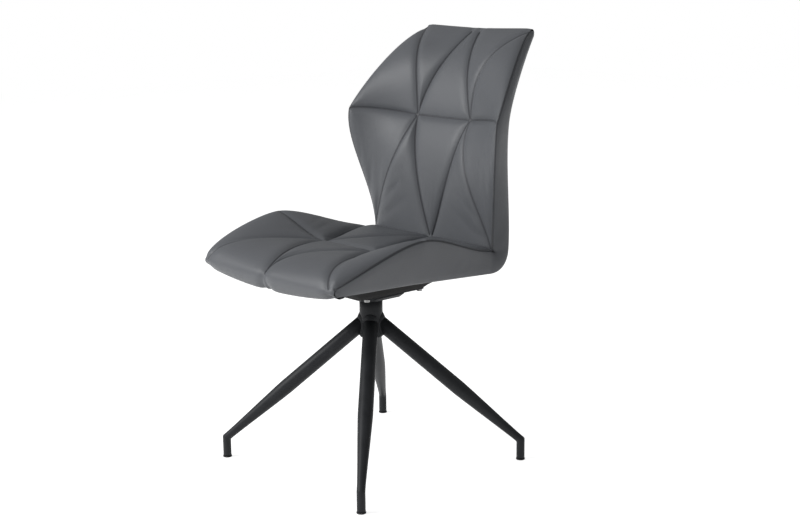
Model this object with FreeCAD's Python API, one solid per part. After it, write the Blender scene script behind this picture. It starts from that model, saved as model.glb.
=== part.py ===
"""Swivel dining chair with a quilted, winged seat and back on a four-legged metal base.

Millimetres. The origin is on the floor, on the swivel's axis. +Z is up and the chair faces -Y.
Exports one STEP file per separate piece to parts/.
"""
import FreeCAD, Part
import math
import os
from FreeCAD import Vector

os.makedirs("parts", exist_ok=True)

# Base
foot_circle_r = 310.0
column_r = 24.0
column_wall = 2.0
column_bottom = 262.0
column_top = 353.0
leg_root_r = 15.5
leg_tip_r = 8.6
leg_sides = 18
leg_wall = 1.5
cope_sides = 48
leg_root_z = 290.0
leg_straight_share = 0.55
leg_tip_length = 12.0
knee_z = 43.0
glide_r = 9.5
glide_height = 3.0
glide_stem_length = 14.0
glide_stem_flats = 12.0
cap_thickness = 3.0

# Swivel plates
pan_half = 53.0
pan_rim_half = 60.0
pan_rim_z = 360.0
pan_corner_cut = 22.0
pan_sheet = 2.5
bearing_half = 47.0
bearing_corner_cut = 19.0
bearing_inner_r = 33.0
bearing_top = 367.8
bearing_web = 3.0
plate_half = 81.0
plate_corner_cut = 8.0
plate_z = 368.0
plate_thickness = 2.5
seat_bolt_spacing = 142.0
pivot_r = 6.0
pivot_clearance = 0.05
hub_wall = 2.5
pivot_head_flats = 19.0
pivot_head_height = 7.0
nut_flange_r = 13.0
nut_flange = 2.0
nut_flats = 19.0
nut_height = 9.0
bolt_end_length = 3.0

# Fasteners that hold the seat
bolt_r = 3.0
bolt_head_flats = 10.0
bolt_head_height = 4.0
bolt_flange_r = 6.5
bolt_flange = 1.6
bolt_length = 12.5
insert_r = 4.5
insert_sides = 12
felt_hole_flats = 8.0

# Upholstered shell
cover = 2.7
side_gap = 0.6
shell_gap = 0.8
foam_sink = 1.2
sheet_gap = 0.2
felt = 1.0
shell_thickness = 10.0
back_shell_thickness = 8.0
crown_back = 11.0
crown_seat = 10.0
facets = 8
under_half_width = 85.0
under_front = -105.0
under_rear = 90.0
under_split = 0.45
rim_share = 0.93
pivot_pocket_r = 16.0
strap_x = 55.0
strap_width = 30.0
strap_thickness = 4.0
strap_bend_r = 30.0
strap_back_gap = 1.7
strap_seat_gap = 0.8
strap_start = 98.0
strap_top = 540.0

# Corners of the quilting, right-hand side, as x, y, z
back_cross = Vector(80, 210, 702)
back_tip = Vector(226, 137, 712)
back_top_corner = Vector(157, 307, 883)
back_top_middle = Vector(12, 306, 878)
back_low_corner = Vector(181, 171, 445)
back_low_middle = Vector(0, 172, 456)
seat_cross = Vector(80, -53, 461)
seat_tip = Vector(234, -60, 516)
seat_front_corner = Vector(207, -264, 443)
seat_front_middle = Vector(0, -266, 443)
seat_rear_corner = Vector(186, 163, 450)
seat_rear_middle = Vector(0, 168, 449)

# Lower edge of the upholstery, right-hand side
low_front_corner = Vector(200, -256, 417)
low_front_middle = Vector(0, -260, 417)
low_side = Vector(188, -60, 413)
low_rear_corner = Vector(186, 165, 401)
low_rear_middle = Vector(0, 170, 401)

# Seams from the crosses, as the two handles of a cubic curve
handles = {
    "back_to_top_corner": (Vector(85, 211, 798), Vector(106, 221, 845)),
    "back_to_top_middle": (Vector(57, 218, 776), Vector(30, 246, 832)),
    "back_to_tip": (Vector(141, 210, 707), Vector(205, 160, 717)),
    "back_to_low_corner": (Vector(96, 129, 613), Vector(155, 167, 532)),
    "back_to_low_middle": (Vector(56, 166, 626), Vector(34, 173, 535)),
    "back_upper_edge": (Vector(217, 177, 772), Vector(181, 252, 861)),
    "back_lower_edge": (Vector(232, 124, 640), Vector(184, 174, 540)),
    "seat_to_front_corner": (Vector(130, -130, 473), Vector(164, -255, 503)),
    "seat_to_front_middle": (Vector(63, -132, 469), Vector(-3, -222, 486)),
    "seat_to_tip": (Vector(128, -56, 464), Vector(179, -54, 502)),
    "seat_to_rear_corner": (Vector(116, 16, 452), Vector(158, 85, 465)),
    "seat_to_rear_middle": (Vector(54, 21, 460), Vector(28, 95, 460)),
    "seat_front_edge": (Vector(226, -123, 506), Vector(236, -215, 478)),
    "seat_rear_edge": (Vector(222, 15, 499), Vector(203, 86, 462)),
}

# Outer face of the back as rows of height, half width, depth at the side and depth in the middle
rear_rows_low = ((450, 189, 212, 222), (530, 190, 216, 222), (640, 200, 188, 240), (712, 205, 195, 256))
rear_rows_high = ((712, 205, 195, 256), (760, 203, 205, 262), (845, 165, 290, 290), (872, 152, 321, 324))
rear_turn = ((401, 186, 165, 170), (401, 188, 193, 200), (420, 189, 211, 221), (450, 189, 212, 222))
top_turn_outer = ((872, 152, 321, 324), (879, 153, 320, 321), (886, 155, 315, 314), (887, 157, 308, 307))
top_turn_inner = ((872, 152, 318.3, 321.3), (877, 153, 317, 318), (882.5, 155, 312, 312), (884.4, 157, 307.5, 306.5))
shell_high_share = 0.82
shell_side_inset = 7.0
steps = (0.0, 1.0 / 3.0, 2.0 / 3.0, 1.0)
tiny = 1e-6


def export(name, shape):
    shape.exportStep("parts/%s.step" % name)
    print(name, len(shape.Solids), round(shape.Volume), shape.isValid())


# Curves and surfaces


def mirrored(point):
    return Vector(-point.x, point.y, point.z)


def blend(a, b, share):
    return a + (b - a) * share


def straight(a, b):
    return [blend(a, b, s) for s in steps]


def seam(start, name, end):
    first, second = handles[name]
    return [start, first, second, end]


def point_curve(point):
    return [point] * 4


def shifted(curve, offset):
    return [p + offset for p in curve]


def blended(curve_a, curve_b, share):
    return [blend(a, b, share) for a, b in zip(curve_a, curve_b)]


def same(a, b):
    return a.isEqual(b, tiny)


def net(first, last, start, end):
    """Control points of a patch between two long curves and the two curves across their ends."""
    rows = []
    for i, u in enumerate(steps):
        row = []
        for j, v in enumerate(steps):
            lengthwise = blend(first[i], last[i], v)
            crosswise = blend(start[j], end[j], u)
            corners = blend(blend(start[0], start[3], v), blend(end[0], end[3], v), u)
            row.append(lengthwise + crosswise - corners)
        rows.append(row)
    return rows


def crowned(rows, height):
    """Lift the middle of a patch along its own normal, so that the padding swells between its seams."""
    if same(rows[0][0], rows[0][3]):
        normal = (rows[3][0] - rows[0][0]).cross(rows[3][3] - rows[3][0])
    else:
        normal = (rows[3][0] - rows[0][3]).cross(rows[3][3] - rows[0][0])
    normal.normalize()
    for i in (1, 2):
        for j in (1, 2):
            rows[i][j] = rows[i][j] + normal * height
    return rows


def on_curve(curve, t):
    """Point on a cubic curve, from 0 at its start to 1 at its end."""
    while len(curve) > 1:
        curve = [blend(p, q, t) for p, q in zip(curve, curve[1:])]
    return curve[0]


def along(curve, count=facets):
    return [on_curve(curve, k / count) for k in range(count + 1)]


def triangle(a, b, c):
    return Part.Face(Part.makePolygon([a, b, c, a]))


def between_lines(line_a, line_b):
    """Flat triangles between two rows of points, which may differ in number."""
    faces = []
    i = j = 0
    while i < len(line_a) - 1 or j < len(line_b) - 1:
        step_a = (i + 1) / max(len(line_a) - 1, 0.5)
        step_b = (j + 1) / max(len(line_b) - 1, 0.5)
        if step_b <= step_a:
            faces.append(triangle(line_a[i], line_b[j], line_b[j + 1]))
            j += 1
        else:
            faces.append(triangle(line_a[i], line_b[j], line_a[i + 1]))
            i += 1
    return faces


def patch(rows):
    """A crowned patch as flat facets. Where one end is a point, each line across has one facet more than the last."""
    if same(rows[3][0], rows[3][3]):
        rows = rows[::-1]
    pointed = same(rows[0][0], rows[0][3])
    columns = [[row[j] for row in rows] for j in range(4)]
    lines = []
    for k in range(facets + 1):
        line = [on_curve(curve, k / facets) for curve in columns]
        count = k if pointed else facets
        lines.append(along(line, count) if count else [line[0]])
    faces = []
    for line_a, line_b in zip(lines, lines[1:]):
        faces += between_lines(line_a, line_b)
    return faces


def strip(curve_a, curve_b):
    return between_lines(along(curve_a), along(curve_b))


def mirror_rows(rows):
    return [[mirrored(p) for p in row] for row in rows]


def mirror_curve(curve):
    return [mirrored(p) for p in curve]


def closed(faces):
    """One solid from faces that meet edge to edge."""
    skin = Part.makeCompound(faces)
    skin.sewShape()
    solid = Part.makeSolid(skin.Shells[0])
    if solid.Volume < 0:
        solid.reverse()
    return solid


def box(low, high):
    return Part.makeBox(high.x - low.x, high.y - low.y, high.z - low.z, low)


def rod(radius, bottom, top, x=0.0, y=0.0):
    return Part.makeCylinder(radius, top - bottom, Vector(x, y, bottom), Vector(0, 0, 1))


def prism(sides, corner_r, bottom, height, x=0.0, y=0.0):
    corners = []
    for k in range(sides + 1):
        angle = 2 * math.pi * k / sides
        corners.append(Vector(x + corner_r * math.cos(angle), y + corner_r * math.sin(angle), bottom))
    return Part.Face(Part.makePolygon(corners)).extrude(Vector(0, 0, height))


def hexagon(flats, bottom, height, x=0.0, y=0.0):
    return prism(6, flats / math.sqrt(3), bottom, height, x, y)


def cut_square(half, corner, z):
    """A square with its four corners cut off, as a closed wire."""
    inner = half - corner
    corners = [(half, -inner), (half, inner), (inner, half), (-inner, half),
               (-half, inner), (-half, -inner), (-inner, -half), (inner, -half), (half, -inner)]
    return Part.makePolygon([Vector(x, y, z) for x, y in corners])


def hollowed(body, cutters):
    """A body less the pieces sunk into it, without the thin offcuts that this leaves."""
    for cutter in cutters:
        body = body.cut(cutter)
    return max(body.Solids, key=lambda solid: solid.Volume)


# Quilted cushions


def quilt(cross, tip, low_corner, low_middle, high_corner, high_middle, names, crown):
    """The panels of one quilted face: the triangles between the seams that leave the two crosses."""
    to_tip = seam(cross, names["tip"], tip)
    to_low_corner = seam(cross, names["low_corner"], low_corner)
    to_low_middle = seam(cross, names["low_middle"], low_middle)
    to_high_corner = seam(cross, names["high_corner"], high_corner)
    to_high_middle = seam(cross, names["high_middle"], high_middle)
    low_edge = seam(tip, names["low_edge"], low_corner)
    high_edge = seam(tip, names["high_edge"], high_corner)
    apex = point_curve(cross)
    half = [
        net(to_tip, to_low_corner, apex, low_edge),
        net(to_low_corner, to_low_middle, apex, straight(low_corner, low_middle)),
        net(to_high_corner, to_tip, apex, high_edge[::-1]),
        net(to_high_middle, to_high_corner, apex, straight(high_middle, high_corner)),
    ]
    between = straight(cross, mirrored(cross))
    low_end = straight(low_middle, mirrored(low_middle))
    high_end = straight(high_middle, mirrored(high_middle))
    middle = [
        net(to_low_middle, mirror_curve(to_low_middle), between, low_end),
        net(mirror_curve(to_high_middle), to_high_middle, between[::-1], high_end[::-1]),
    ]
    faces = []
    for rows in half:
        rows = crowned(rows, crown)
        faces += patch(rows) + patch(mirror_rows(rows))
    for rows in middle:
        faces += patch(crowned(rows, crown))
    return faces


def both_sides(curves):
    faces = []
    for curve_a, curve_b in curves:
        faces += strip(curve_a, curve_b)
        faces += strip(mirror_curve(curve_a), mirror_curve(curve_b))
    return faces


def under_rails(lift):
    """Lower outline of the seat and the flat middle that rests on the swivel plate, lifted by a height."""
    up = Vector(0, 0, lift)
    floor_z = plate_z + plate_thickness
    front_flat = Vector(under_half_width, under_front, floor_z) + up
    rear_flat = Vector(under_half_width, under_rear, floor_z) + up
    split_flat = blend(front_flat, rear_flat, under_split)
    outline = {
        "front": straight(low_front_middle + up, low_front_corner + up),
        "side_front": straight(low_front_corner + up, low_side + up),
        "side_rear": straight(low_side + up, low_rear_corner + up),
        "rear": straight(low_rear_corner + up, low_rear_middle + up),
    }
    flat = {
        "front": straight(Vector(0, under_front, floor_z) + up, front_flat),
        "side_front": straight(front_flat, split_flat),
        "side_rear": straight(split_flat, rear_flat),
        "rear": straight(rear_flat, Vector(0, under_rear, floor_z) + up),
    }
    return outline, flat


def flat_bottom(flat):
    half = []
    for name in ("front", "side_front", "side_rear", "rear"):
        half += along(flat[name])[:-1]
    half.append(flat["rear"][3])
    return Part.Face(Part.makePolygon(half + [mirrored(p) for p in half[-2:0:-1]] + [half[0]]))


def hopper(low, high, share):
    """A bowl with a flat middle, between two lifts of the seat's underside and up to a share of its slopes."""
    faces = []
    rims = []
    for lift in (low, high):
        outline, flat = under_rails(lift)
        rim = {k: blended(flat[k], outline[k], share) for k in flat}
        faces += both_sides([(rim[k], flat[k]) for k in flat])
        faces.append(flat_bottom(flat))
        rims.append(rim)
    faces += both_sides([(rims[0][k], rims[1][k]) for k in rims[0]])
    return closed(faces)


def seat_cushion(cutters):
    names = {"tip": "seat_to_tip", "low_corner": "seat_to_front_corner", "low_middle": "seat_to_front_middle",
             "high_corner": "seat_to_rear_corner", "high_middle": "seat_to_rear_middle",
             "low_edge": "seat_front_edge", "high_edge": "seat_rear_edge"}
    faces = quilt(seat_cross, seat_tip, seat_front_corner, seat_front_middle, seat_rear_corner,
                  seat_rear_middle, names, crown_seat)
    outline, flat = under_rails(felt + sheet_gap)
    top = {
        "front": straight(seat_front_middle, seat_front_corner),
        "side_front": seam(seat_tip, "seat_front_edge", seat_front_corner)[::-1],
        "side_rear": seam(seat_tip, "seat_rear_edge", seat_rear_corner),
        "rear": straight(seat_rear_corner, seat_rear_middle),
    }
    faces += both_sides([(top[k], outline[k]) for k in top])
    faces += both_sides([(outline[k], flat[k]) for k in flat])
    faces.append(flat_bottom(flat))
    return hollowed(closed(faces), cutters)


def across(row, forward, inset=0.0):
    """Four control points across the back at one height, moved forward and in from the side."""
    height, half_width, side, middle = row
    hump = (4 * middle - side) / 3
    x = half_width - inset
    return [Vector(x, side - forward, height), Vector(x / 3, hump - forward, height),
            Vector(-x / 3, hump - forward, height), Vector(-x, side - forward, height)]


def back_rows(rows, forward, inset=0.0):
    return [across(row, forward, inset) for row in rows]


def first_share(rows, share):
    """The part of a patch from its first row up to a share of its height."""
    columns = []
    for j in range(4):
        p = [rows[i][j] for i in range(4)]
        a = [blend(p[i], p[i + 1], share) for i in range(3)]
        b = [blend(a[i], a[i + 1], share) for i in range(2)]
        columns.append([p[0], a[0], b[0], blend(b[0], b[1], share)])
    return [[columns[j][i] for j in range(4)] for i in range(4)]


def rail(rows, j):
    return [row[j] for row in rows]


def slab(fronts, backs):
    """A curved sheet between two stacks of patches, closed round its rim."""
    faces = []
    for rows in fronts + backs:
        faces += patch(rows)
    for front, back in zip(fronts, backs):
        for j in (0, 3):
            faces += strip(rail(front, j), rail(back, j))
    faces += strip(fronts[0][0], backs[0][0])
    faces += strip(fronts[-1][3], backs[-1][3])
    return closed(faces)


def back_shell():
    sheets = []
    behind = cover + shell_gap
    for forward in (behind + back_shell_thickness, behind):
        low = back_rows(rear_rows_low, forward, shell_side_inset)
        high = first_share(back_rows(rear_rows_high, forward, shell_side_inset), shell_high_share)
        sheets.append([low, high])
    return slab(*sheets)


def rear_cover():
    sheets = []
    for forward, top_turn in ((cover, top_turn_inner), (0.0, top_turn_outer)):
        turn = back_rows(rear_turn, forward)
        lift = Vector(0, forward, forward)
        turn[0] = [p + lift for p in turn[0]]
        turn[1] = [p + lift for p in turn[1]]
        sheets.append([turn, back_rows(rear_rows_low, forward), back_rows(rear_rows_high, forward),
                       back_rows(top_turn, 0.0)])
    return slab(*sheets)


def back_cushion(cutters):
    names = {"tip": "back_to_tip", "low_corner": "back_to_low_corner", "low_middle": "back_to_low_middle",
             "high_corner": "back_to_top_corner", "high_middle": "back_to_top_middle",
             "low_edge": "back_lower_edge", "high_edge": "back_upper_edge"}
    faces = quilt(back_cross, back_tip, back_low_corner, back_low_middle, back_top_corner,
                  back_top_middle, names, crown_back)
    forward = cover + shell_gap + foam_sink
    low = back_rows(rear_rows_low, forward, foam_sink)
    high = back_rows(rear_rows_high, forward, foam_sink)
    faces += patch(low) + patch(high)
    faces += both_sides([
        (seam(back_tip, "back_lower_edge", back_low_corner)[::-1], rail(low, 0)),
        (seam(back_tip, "back_upper_edge", back_top_corner), rail(high, 0)),
    ])
    faces += top_faces(high[3])
    faces += tuck_faces(low[0])
    return hollowed(closed(faces), cutters)


def top_faces(rear_edge):
    """The strip along the top of the back, between the quilting and the rear edge."""
    front = along(straight(back_top_corner, back_top_middle))
    front += along(straight(back_top_middle, mirrored(back_top_middle)))[1:]
    front += along(straight(mirrored(back_top_middle), mirrored(back_top_corner)))[1:]
    return between_lines(front, along(rear_edge))


def tuck_faces(rear_edge):
    """The bottom of the back cushion."""
    front = along(straight(back_low_corner, back_low_middle))
    front += along(straight(back_low_middle, mirrored(back_low_corner)))[1:]
    return between_lines(front, along(rear_edge))


def side_band(side):
    """The boxing strip that runs along one side of the seat and on up the back."""
    turn = [row[0] for row in back_rows(rear_turn, 0.0)]
    low = rail(back_rows(rear_rows_low, 0.0), 0)
    high = rail(back_rows(rear_rows_high, 0.0), 0)
    pairs = [
        (seam(seat_tip, "seat_front_edge", seat_front_corner)[::-1], straight(low_front_corner, low_side)),
        (seam(seat_tip, "seat_rear_edge", seat_rear_corner), straight(low_side, low_rear_corner)),
        (straight(seat_rear_corner, back_low_corner), turn),
        (seam(back_tip, "back_lower_edge", back_low_corner)[::-1], low),
        (seam(back_tip, "back_upper_edge", back_top_corner), high),
    ]
    inward, outward = Vector(side_gap, 0, 0), Vector(side_gap + cover, 0, 0)
    faces = []
    for edge, hem in pairs:
        faces += strip(shifted(edge, inward), shifted(hem, inward))
        faces += strip(shifted(edge, outward), shifted(hem, outward))
        for curve in (edge, hem):
            faces += strip(shifted(curve, inward), shifted(curve, outward))
    for edge, hem in ((pairs[0][0][0], pairs[0][1][0]), (pairs[-1][0][-1], pairs[-1][1][-1])):
        faces += between_lines([edge + inward, hem + inward], [edge + outward, hem + outward])
    band = closed(faces)
    return band if side > 0 else band.mirror(Vector(0, 0, 0), Vector(1, 0, 0))


# Steel straps that join the two shells


def slope_at(y):
    """Height of the seat shell's upper face on its rear slope."""
    rise = low_rear_middle.z - plate_z - plate_thickness
    run = low_rear_middle.y - under_rear
    return plate_z + plate_thickness + felt + sheet_gap + shell_thickness + (y - under_rear) * rise / run


def strap_path():
    """Middle line of a strap: up the rear slope of the seat shell, round, and up the front of the back shell."""
    half = strap_thickness / 2
    back_y = rear_rows_low[0][3] - cover - shell_gap - back_shell_thickness - half - strap_back_gap
    lift = half + strap_seat_gap
    start = Vector(0, strap_start, slope_at(strap_start) + lift)
    corner = Vector(0, back_y, slope_at(back_y) + lift)
    end = Vector(0, back_y, strap_top)
    down, up = start - corner, end - corner
    down.normalize()
    up.normalize()
    turn = math.pi - down.getAngle(up)
    reach = strap_bend_r * math.tan(turn / 2)
    middle = down + up
    middle.normalize()
    sag = strap_bend_r / math.cos(turn / 2) - strap_bend_r
    return start, corner + down * reach, corner + middle * sag, corner + up * reach, end, down


def strap(x):
    start, bend_start, bend_middle, bend_end, end, down = strap_path()
    path = Part.Wire([Part.makeLine(start, bend_start), Part.Arc(bend_start, bend_middle, bend_end).toShape(),
                      Part.makeLine(bend_end, end)])
    normal = down.cross(Vector(1, 0, 0))
    corners = [start + Vector(strap_width / 2 * i, 0, 0) + normal * (strap_thickness / 2 * j)
               for i, j in ((-1, -1), (1, -1), (1, 1), (-1, 1), (-1, -1))]
    bar = path.makePipeShell([Part.makePolygon(corners)], True, False)
    bar.translate(Vector(x, 0, 0))
    return bar


# Swivel


def swivel_pan():
    outer = Part.makeLoft([cut_square(pan_half, pan_corner_cut, column_top),
                           cut_square(pan_rim_half, pan_corner_cut, pan_rim_z)], True, True)
    inner = Part.makeLoft([cut_square(pan_half - pan_sheet, pan_corner_cut, column_top + pan_sheet),
                           cut_square(pan_rim_half - pan_sheet, pan_corner_cut, pan_rim_z + 1)], True, True)
    return outer.cut(inner).cut(rod(pivot_r + pivot_clearance + hub_wall, column_top - 1, pan_rim_z))


def swivel_bearing():
    """Nylon moulding that fills the pan: a raised sliding rim, a thin web and a hub round the pivot."""
    floor = column_top + pan_sheet
    outline = Part.Face(cut_square(bearing_half, bearing_corner_cut, floor))
    body = outline.extrude(Vector(0, 0, bearing_top - floor))
    body = body.cut(rod(bearing_inner_r, floor + bearing_web, bearing_top + 1))
    body = body.fuse(rod(pivot_r + pivot_clearance + hub_wall, column_top, floor + bearing_web))
    return body.cut(rod(pivot_r + pivot_clearance, column_top - 1, bearing_top))


def pivot_bolt():
    nut_bottom = column_top - sheet_gap - nut_height
    head = hexagon(pivot_head_flats, plate_z + plate_thickness, pivot_head_height)
    return head.fuse(rod(pivot_r, nut_bottom - bolt_end_length, plate_z + plate_thickness))


def pivot_nut():
    """Flanged nut that turns with the bolt, just under the pan."""
    top = column_top - sheet_gap
    body = hexagon(nut_flats, top - nut_height, nut_height).fuse(rod(nut_flange_r, top - nut_flange, top))
    return body.cut(rod(pivot_r, top - nut_height - 1, top + 1))


def bolt_places():
    half = seat_bolt_spacing / 2
    return [(i * half, j * half) for i in (-1, 1) for j in (-1, 1)]


def swivel_plate():
    top = plate_z + plate_thickness
    plate = Part.Face(cut_square(plate_half, plate_corner_cut, plate_z)).extrude(Vector(0, 0, plate_thickness))
    plate = plate.cut(rod(pivot_r, plate_z - 1, top + 1))
    for x, y in bolt_places():
        plate = plate.cut(rod(bolt_r, plate_z - 1, top + 1, x, y))
    return plate


def seat_fasteners():
    """Flanged bolts and threaded inserts at the four corners of the swivel plate."""
    bolts = []
    inserts = []
    shell_bottom = plate_z + plate_thickness + felt + sheet_gap
    shell_top = shell_bottom + shell_thickness
    for x, y in bolt_places():
        shank = rod(bolt_r, plate_z, plate_z + bolt_length, x, y)
        flange = rod(bolt_flange_r, plate_z - bolt_flange, plate_z, x, y)
        head = hexagon(bolt_head_flats, plate_z - bolt_flange - bolt_head_height, bolt_head_height, x, y)
        bolts.append(head.fuse(flange).fuse(shank))
        knurled = prism(insert_sides, insert_r, shell_bottom, shell_thickness, x, y)
        inserts.append(knurled.cut(rod(bolt_r, plate_z, shell_top + 1, x, y)))
    return {"seat_bolts": Part.makeCompound(bolts), "threaded_inserts": Part.makeCompound(inserts)}


def drilled_shell(shell):
    bottom = plate_z + plate_thickness
    top = bottom + felt + sheet_gap + shell_thickness
    shell = shell.cut(rod(pivot_pocket_r, bottom, top + 1))
    for x, y in bolt_places():
        shell = shell.cut(prism(insert_sides, insert_r, bottom, top + 1 - bottom, x, y))
    return shell


def dust_cover():
    sheet = hopper(0.0, felt, 1.0)
    floor = plate_z + plate_thickness
    sheet = sheet.cut(rod(pivot_pocket_r, floor - 1, floor + felt + 1))
    for x, y in bolt_places():
        sheet = sheet.cut(hexagon(felt_hole_flats, floor - 1, felt + 2, x, y))
    return sheet


# Base


def leg_frame():
    """Knee, direction of the leg from the column, and the direction square to the mitre at the knee."""
    knee = Vector(foot_circle_r, 0, knee_z)
    root = Vector(column_r, 0, leg_root_z)
    run = knee - root
    length = run.Length
    run.normalize()
    mitre = run + Vector(0, 0, -1)
    mitre.normalize()
    return root, knee, run, length, mitre


def half_space(point, normal):
    """A large block whose flat side passes through a point, on the side that a direction points to."""
    size = foot_circle_r
    block = Part.makeBox(2 * size, 2 * size, size, Vector(-size, -size, 0))
    block.Placement = FreeCAD.Placement(point, FreeCAD.Rotation(Vector(0, 0, 1), normal))
    return block


def many_sided(radius, centre, axis):
    """Outline of a round bar with flat sides, with one corner in the plane of the leg."""
    sideways = Vector(0, 1, 0)
    inward = sideways.cross(axis)
    corners = []
    for k in range(leg_sides + 1):
        angle = 2 * math.pi * k / leg_sides
        corners.append(centre + inward * (radius * math.cos(angle)) + sideways * (radius * math.sin(angle)))
    return Part.makePolygon(corners)


def leg_bar(shrink):
    """The leg as one solid: thick near the column, tapered to the knee, then a short upright end."""
    root, knee, run, length, mitre = leg_frame()
    up = Vector(0, 0, 1)
    overrun = 2 * leg_root_r
    thick = leg_root_r - shrink
    thin = leg_tip_r - shrink
    sections = [(thick, -overrun), (thick, length * leg_straight_share), (thin, length - leg_tip_length),
                (thin, length + overrun)]
    slope = Part.makeLoft([many_sided(r, root + run * place, run) for r, place in sections], True, True)
    cope = prism(cope_sides, column_r / math.cos(math.pi / cope_sides), 0, column_top)
    slope = slope.cut(cope).cut(half_space(knee, mitre))
    slope = slope.common(box(Vector(0, -foot_circle_r, 0), Vector(2 * foot_circle_r, foot_circle_r, column_top)))
    foot = Vector(foot_circle_r, 0, glide_height)
    upright = Part.makeLoft([many_sided(thin, foot, up), many_sided(thin, knee + up * overrun, up)], True, True)
    return slope.fuse(upright.common(half_space(knee, mitre)))


def leg():
    return leg_bar(0.0).cut(leg_bar(leg_wall)).removeSplitter()


def glide():
    """Plastic foot that plugs into the end of the leg."""
    stem = hexagon(glide_stem_flats, glide_height, glide_stem_length, foot_circle_r)
    return prism(leg_sides, glide_r, 0, glide_height, foot_circle_r).fuse(stem)


def column():
    tube = rod(column_r, column_bottom, column_top)
    return tube.cut(rod(column_r - column_wall, column_bottom - 1, column_top + 1))


def turned(shape, degrees):
    copy = shape.copy()
    copy.rotate(Vector(0, 0, 0), Vector(0, 0, 1), degrees)
    return copy


def build_base():
    corners = {"front_right": -45, "rear_right": 45, "rear_left": 135, "front_left": 225}
    for name, degrees in corners.items():
        export("leg_" + name, turned(leg(), degrees))
    export("glides", Part.makeCompound([turned(glide(), degrees) for degrees in corners.values()]))
    export("column", column())
    export("column_cap", rod(column_r, column_bottom - cap_thickness, column_bottom))
    export("swivel_pan", swivel_pan())
    export("swivel_bearing", swivel_bearing())


def build_seat():
    export("swivel_plate", swivel_plate())
    export("pivot_bolt", pivot_bolt())
    export("pivot_nut", pivot_nut())
    for name, solids in seat_fasteners().items():
        export(name, solids)
    straps = {"strap_left": strap(-strap_x), "strap_right": strap(strap_x)}
    for name, bar in straps.items():
        export(name, bar)
    seat_shell = hopper(felt + sheet_gap, felt + sheet_gap + shell_thickness, rim_share)
    rear_shell = back_shell()
    export("seat_shell", drilled_shell(seat_shell))
    export("back_shell", rear_shell)
    export("seat_cushion", seat_cushion([seat_shell] + list(straps.values())))
    export("back_cushion", back_cushion([rear_shell] + list(straps.values())))
    export("rear_cover", rear_cover())
    export("dust_cover", dust_cover())
    export("side_band_left", side_band(-1))
    export("side_band_right", side_band(1))


if __name__ == "__main__":
    build_base()
    build_seat()
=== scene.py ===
import math
import bpy
import bmesh
import numpy as np
from mathutils import Matrix, Vector


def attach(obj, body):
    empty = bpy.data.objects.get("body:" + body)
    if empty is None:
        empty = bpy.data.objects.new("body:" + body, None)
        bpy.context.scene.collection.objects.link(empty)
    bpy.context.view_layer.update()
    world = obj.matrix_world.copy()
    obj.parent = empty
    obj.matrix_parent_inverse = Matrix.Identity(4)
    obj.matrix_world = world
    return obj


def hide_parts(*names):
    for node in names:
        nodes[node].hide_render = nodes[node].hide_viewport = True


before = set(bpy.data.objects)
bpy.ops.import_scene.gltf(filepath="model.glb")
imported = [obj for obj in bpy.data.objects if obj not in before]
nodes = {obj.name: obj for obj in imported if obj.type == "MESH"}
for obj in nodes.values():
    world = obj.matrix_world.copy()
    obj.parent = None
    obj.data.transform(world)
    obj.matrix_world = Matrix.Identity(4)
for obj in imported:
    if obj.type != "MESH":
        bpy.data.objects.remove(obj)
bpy.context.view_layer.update()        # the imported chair, in metres: +Z up, facing -Y, the near side in the photo is +X
mm = 0.001
print("stage: frame loaded,", len(nodes), "nodes")


# where the photograph was taken from, worked out from the chair's own points in it
cameraView = {
    "place": (2.210, -1.891, 1.0425),
    "target": (0.0, 0.0, 0.434),
    "targetPixel": (370.3, 256.5),      # where the target lies in the 800 x 532 photograph
    "focalPixels": 1450.0,
    "roll": -0.82,                      # degrees
    "photoSize": (800, 532),
    "sensor": 36.0,
}


def makeCamera(view):
    width, height = view["photoSize"]
    place = Vector(view["place"])
    ahead = (Vector(view["target"]) - place).normalized()
    right = ahead.cross(Vector((0, 0, 1))).normalized()
    up = right.cross(ahead)
    roll = math.radians(view["roll"])
    right, up = (right * math.cos(roll) + up * math.sin(roll)), (up * math.cos(roll) - right * math.sin(roll))
    offX = (view["targetPixel"][0] - width / 2) / view["focalPixels"]
    offY = (height / 2 - view["targetPixel"][1]) / view["focalPixels"]
    ahead = (ahead - right * offX - up * offY).normalized()
    right = (right - ahead * right.dot(ahead)).normalized()
    up = right.cross(ahead)
    data = bpy.data.cameras.new("camera")
    data.sensor_width = view["sensor"]
    data.lens = view["focalPixels"] / width * view["sensor"]
    data.clip_end = 50
    camera = bpy.data.objects.new("camera", data)
    bpy.context.scene.collection.objects.link(camera)
    turn = Matrix((right, up, -ahead)).transposed().to_4x4()
    camera.matrix_world = Matrix.Translation(place) @ turn
    bpy.context.scene.camera = camera


makeCamera(cameraView)
print("stage: camera")


class Wire:
    # a socket that can be used in sums, so that shader maths reads as maths
    def __init__(self, finish, socket):
        self.finish, self.socket = finish, socket

    def sum(self, operation, first, second=0.0):
        return self.finish.add("ShaderNodeMath", {"operation": operation}, {0: first, 1: second})

    def __add__(self, other): return self.sum("ADD", self, other)
    def __radd__(self, other): return self.sum("ADD", other, self)
    def __sub__(self, other): return self.sum("SUBTRACT", self, other)
    def __rsub__(self, other): return self.sum("SUBTRACT", other, self)
    def __mul__(self, other): return self.sum("MULTIPLY", self, other)
    def __rmul__(self, other): return self.sum("MULTIPLY", other, self)


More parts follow.
